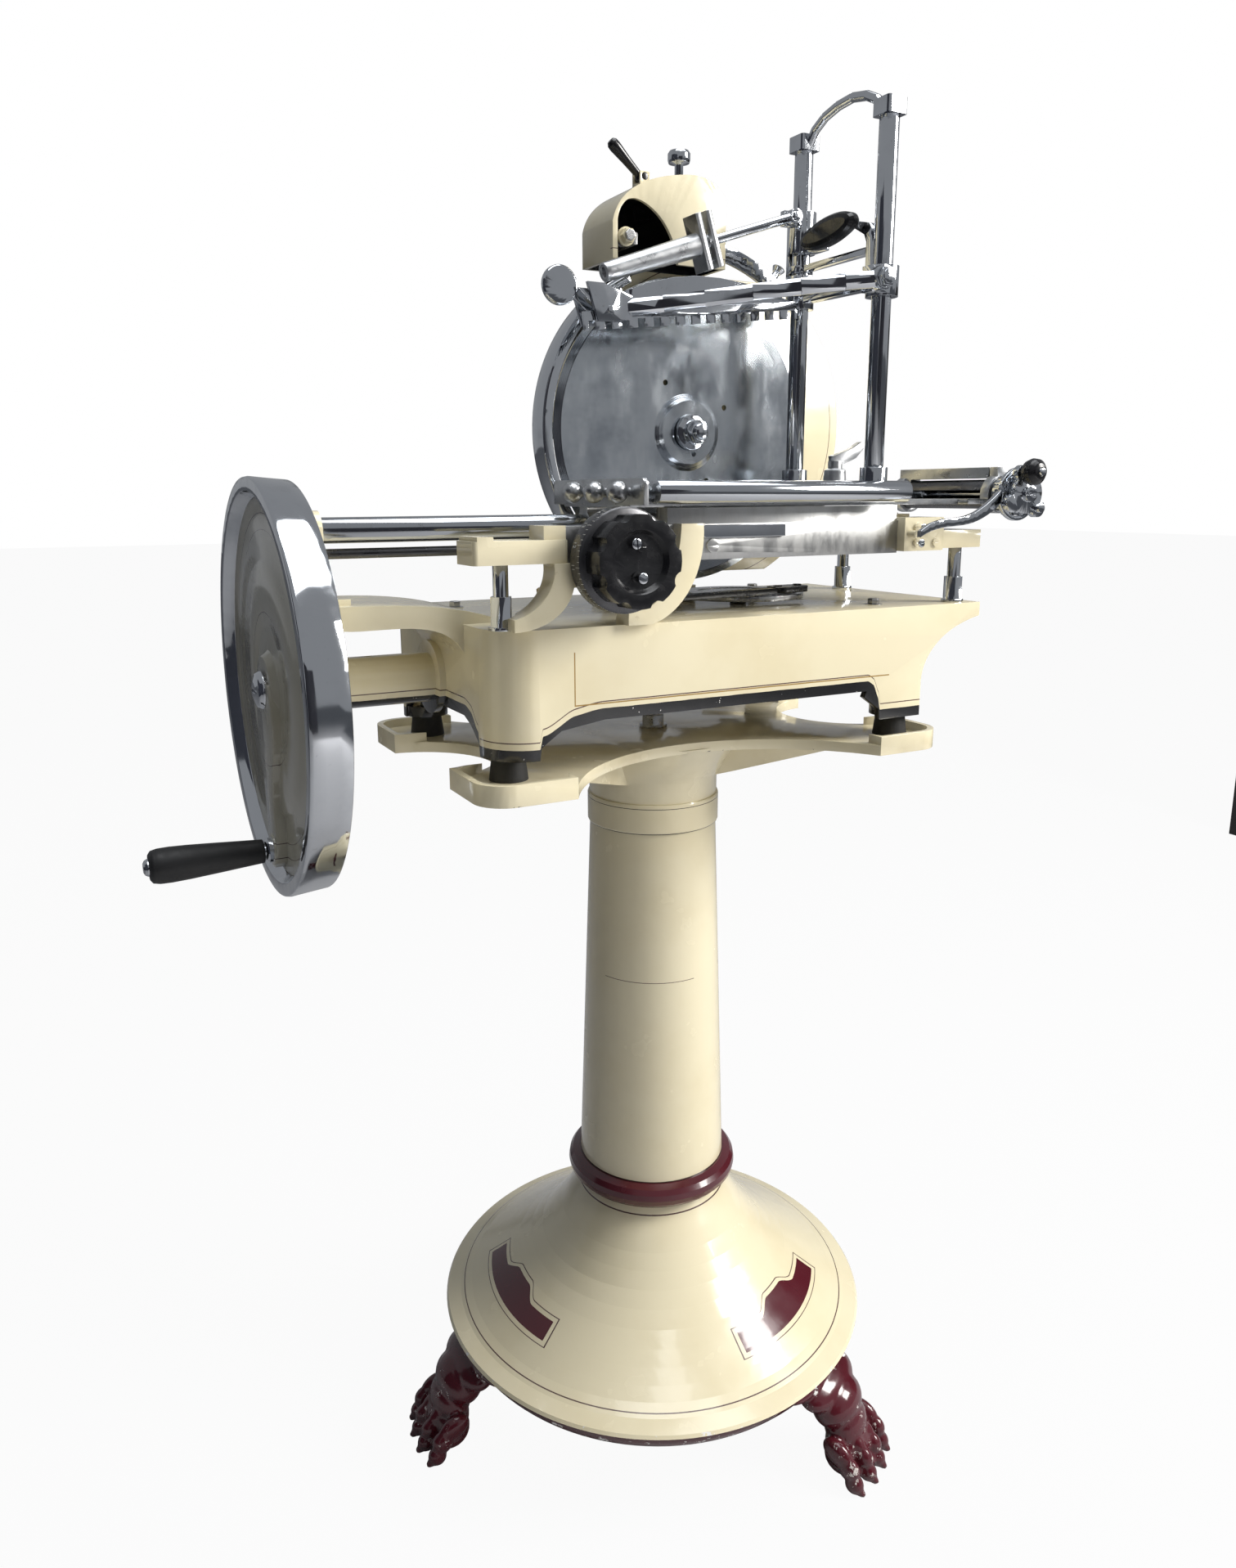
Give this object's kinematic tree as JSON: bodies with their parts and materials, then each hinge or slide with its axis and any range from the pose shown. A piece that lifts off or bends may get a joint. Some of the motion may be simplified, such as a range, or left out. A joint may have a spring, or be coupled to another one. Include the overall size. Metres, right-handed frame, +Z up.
{
  "type": "hand crank meat slicer",
  "caption": "Flywheel meat slicer on a round pedestal: hand crank turns the blade, a carriage with screw-fed table and toothed clamp slides past it.",
  "frame": {"origin": "on the floor, under the middle of the machine's bounding box", "axes": "+Z up, X along the machine with the flywheel at -X, +Y away from the front along the blade's axis"},
  "size_m": [0.981, 0.6365, 1.6145],
  "materials": {
    "cream_paint": "gloss",
    "maroon_paint": "gloss",
    "chrome": "polished",
    "steel": "machined",
    "blade_steel": "polished",
    "aluminium": "polished",
    "black_grip": "moulded",
    "rubber": "moulded",
    "iron": "oiled"
  },
  "bodies": {
    "stand": {"pedestal_foot": "cream_paint", "foot_skirt": "maroon_paint", "collar_ring": "maroon_paint", "pedestal_column": "cream_paint", "table_spider": "cream_paint", "base_bolt": "steel", "rubber_foot_1": "rubber", "rubber_foot_2": "rubber", "rubber_foot_3": "rubber", "rubber_foot_4": "rubber", "base_casting": "cream_paint", "drive_chain": "iron", "blade_standard": "cream_paint", "rear_cover": "cream_paint", "knife_guard": "chrome", "top_guard": "chrome", "sharpener_housing": "cream_paint", "slide_bar": "chrome", "lower_bar": "steel", "post_front_left": "chrome", "post_front_right": "chrome", "post_back_right": "chrome", "bracket_left": "cream_paint", "bracket_right": "cream_paint", "front_rail": "steel", "dial_bracket": "cream_paint"},
    "flywheel": {"flywheel_rim": "chrome", "flywheel_web": "cream_paint", "flywheel_cap": "chrome", "crank_spindle": "chrome", "main_shaft": "steel"},
    "crank_grip": {"crank_grip": "black_grip"},
    "cross_shaft": {"cross_shaft": "steel"},
    "blade": {"blade_shaft": "steel", "knife_blade": "blade_steel", "blade_nut": "chrome"},
    "crank_disc": {"crank_disc": "steel"},
    "drive_link": {"drive_link": "iron"},
    "carriage": {"carriage": "aluminium", "end_plate": "aluminium", "feed_tube": "chrome"},
    "feed_crank": {"feed_crank": "chrome"},
    "feed_knob": {"feed_knob": "black_grip"},
    "feed_pawl": {"feed_pawl": "chrome"},
    "meat_table": {"meat_table": "chrome", "upright_front": "chrome", "upright_back": "chrome", "arch_bar": "chrome"},
    "table_lever": {"table_lever": "aluminium"},
    "clamp_carrier": {"clamp_carrier": "chrome"},
    "lock_grip": {"lock_grip": "black_grip"},
    "clamp_arm": {"main_arm": "chrome", "press_plate": "chrome"},
    "thumb_lever": {"thumb_lever": "chrome"},
    "push_rod": {"push_rod": "chrome"},
    "push_sleeve": {"push_sleeve": "chrome"},
    "dial": {"dial_drum": "black_grip", "index_knob": "black_grip"},
    "sharpener_lever": {"sharpener_lever": "black_grip"},
    "sharpener_knob": {"sharpener_knob": "chrome"}
  },
  "joints": [
    {"name": "flywheel_spin", "type": "hinge", "parent": "stand", "child": "flywheel", "pos_m": [-0.3454, -0.01185, 1.0082], "axis": [1, 0, 0], "continuous": true},
    {"name": "crank_grip_spin", "type": "hinge", "parent": "flywheel", "child": "crank_grip", "pos_m": [-0.4214, -0.01185, 0.8382], "axis": [1, 0, 0], "continuous": true},
    {"name": "cross_shaft_spin", "type": "hinge", "parent": "stand", "child": "cross_shaft", "pos_m": [0.148, 0.05715, 1.0082], "axis": [0, 1, 0], "continuous": true},
    {"name": "blade_spin", "type": "hinge", "parent": "stand", "child": "blade", "pos_m": [0.148, 0.00715, 1.2714], "axis": [0, 1, 0], "continuous": true},
    {"name": "crank_disc_spin", "type": "hinge", "parent": "stand", "child": "crank_disc", "pos_m": [0.2186, -0.01185, 1.08], "axis": [0, 0, 1], "continuous": true},
    {"name": "carriage_slide", "type": "slide", "parent": "stand", "child": "carriage", "axis": [1, 0, 0], "range_m": [-0.084, 0.084]},
    {"name": "drive_link_swing", "type": "hinge", "parent": "carriage", "child": "drive_link", "pos_m": [0.0526, -0.11285, 1.09], "axis": [0, 0, 1], "range_deg": [-2, 47.8]},
    {"name": "feed_crank_turn", "type": "hinge", "parent": "carriage", "child": "feed_crank", "pos_m": [0.4606, -0.13285, 1.199], "axis": [0, 1, 0], "range_deg": [0, 7200]},
    {"name": "feed_knob_spin", "type": "hinge", "parent": "feed_crank", "child": "feed_knob", "pos_m": [0.45086, -0.25085, 1.22311], "axis": [0, 1, 0], "continuous": true},
    {"name": "feed_pawl_swing", "type": "hinge", "parent": "carriage", "child": "feed_pawl", "pos_m": [0.4606, -0.21985, 1.199], "axis": [0, 1, 0], "range_deg": [0, 10]},
    {"name": "meat_table_feed", "type": "slide", "parent": "carriage", "child": "meat_table", "axis": [0, 1, 0], "range_m": [-0.1, 0]},
    {"name": "table_lever_turn", "type": "hinge", "parent": "meat_table", "child": "table_lever", "pos_m": [0.2646, -0.13285, 1.225], "axis": [0, 0, 1], "range_deg": [-60, 30]},
    {"name": "clamp_slide", "type": "slide", "parent": "meat_table", "child": "clamp_carrier", "axis": [0, 0, 1], "range_m": [-0.13, 0.03]},
    {"name": "lock_grip_turn", "type": "hinge", "parent": "clamp_carrier", "child": "lock_grip", "pos_m": [0.2486, -0.08885, 1.474], "axis": [1, 0, 0], "range_deg": [-10, 20]},
    {"name": "clamp_arm_tilt", "type": "hinge", "parent": "clamp_carrier", "child": "clamp_arm", "pos_m": [0.2446, -0.21885, 1.416], "axis": [0, 1, 0], "range_deg": [-4, 12]},
    {"name": "thumb_lever_tilt", "type": "hinge", "parent": "clamp_arm", "child": "thumb_lever", "pos_m": [-0.00162, -0.07285, 1.3861], "axis": [0, 1, 0], "range_deg": [-4, 15]},
    {"name": "push_rod_swing", "type": "hinge", "parent": "clamp_carrier", "child": "push_rod", "pos_m": [0.2416, -0.07285, 1.503], "axis": [0, 1, 0], "range_deg": [-6, 16]},
    {"name": "push_sleeve_slide", "type": "slide", "parent": "push_rod", "child": "push_sleeve", "axis": [0.9514, 0, 0.3079], "range_m": [-0.03, 0.03]},
    {"name": "dial_turn", "type": "hinge", "parent": "stand", "child": "dial", "pos_m": [-0.0564, -0.22285, 1.139], "axis": [0, 1, 0], "range_deg": [0, 300]},
    {"name": "sharpener_lever_tilt", "type": "hinge", "parent": "stand", "child": "sharpener_lever", "pos_m": [0.0946, 0.01515, 1.546], "axis": [0, 1, 0], "range_deg": [-15, 15]},
    {"name": "sharpener_knob_turn", "type": "hinge", "parent": "stand", "child": "sharpener_knob", "pos_m": [0.1526, 0.02915, 1.56], "axis": [0, 0, 1], "continuous": true}
  ],
  "couplings": [
    {"joint": "cross_shaft_spin", "follows": "flywheel_spin", "ratio": 1},
    {"joint": "blade_spin", "follows": "flywheel_spin", "ratio": 1.5},
    {"joint": "crank_disc_spin", "follows": "flywheel_spin", "ratio": 1},
    {"joint": "feed_crank_turn", "follows": "meat_table_feed", "rad_per_m": -1256.6},
    {"joint": "push_rod_swing", "follows": "clamp_arm_tilt", "ratio": 0.9307},
    {"joint": "push_sleeve_slide", "follows": "clamp_arm_tilt", "m_per_rad": 0.08526}
  ]
}
